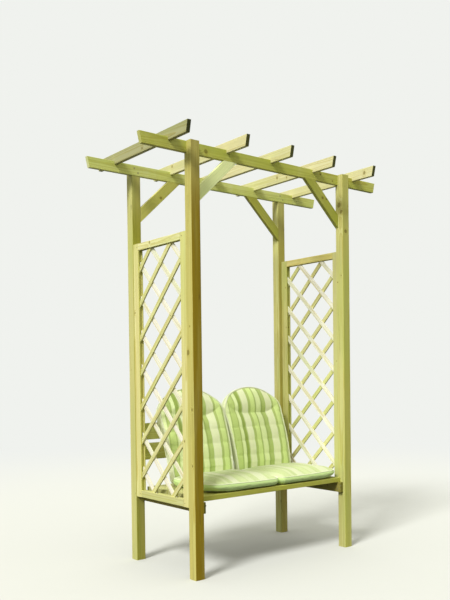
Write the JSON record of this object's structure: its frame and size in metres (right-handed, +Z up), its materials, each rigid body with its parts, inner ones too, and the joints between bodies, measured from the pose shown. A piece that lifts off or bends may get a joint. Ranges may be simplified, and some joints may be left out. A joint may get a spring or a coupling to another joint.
{
  "type": "garden pergola with a bench",
  "caption": "Wooden garden pergola: four posts, slatted roof, trellis sides and a bench with striped seat and back cushions.",
  "frame": {"origin": "on the ground at the middle of the plan", "axes": "+Z up, front of the bench towards -Y, beams along X"},
  "size_m": [1.7, 0.87, 2.241],
  "materials": {
    "pine": "pressure-treated pine, sawn and lightly planed, uncoated",
    "cushion_fabric": "woven striped cotton blend, matt"
  },
  "bodies": {
    "root": {"back_beam": "pine", "front_beam": "pine", "back_left_post": "pine", "back_right_post": "pine", "front_left_post": "pine", "front_right_post": "pine", "back_left_brace": "pine", "back_right_brace": "pine", "front_left_brace": "pine", "front_right_brace": "pine", "rafter_1": "pine", "rafter_2": "pine", "rafter_3": "pine", "rafter_4": "pine", "rafter_5": "pine", "left_trellis_front_stile": "pine", "left_trellis_back_stile": "pine", "left_trellis_top_rail": "pine", "left_trellis_bottom_rail": "pine", "left_trellis_lattice": "pine", "right_trellis_front_stile": "pine", "right_trellis_back_stile": "pine", "right_trellis_top_rail": "pine", "right_trellis_bottom_rail": "pine", "right_trellis_lattice": "pine", "left_seat_bearer": "pine", "right_seat_bearer": "pine", "seat_board_1": "pine", "seat_board_2": "pine", "seat_board_3": "pine", "seat_board_4": "pine", "seat_board_5": "pine", "back_board_1": "pine", "back_board_2": "pine", "left_seat_cushion": "cushion_fabric", "right_seat_cushion": "cushion_fabric", "left_back_cushion": "cushion_fabric", "right_back_cushion": "cushion_fabric"}
  },
  "joints": []
}
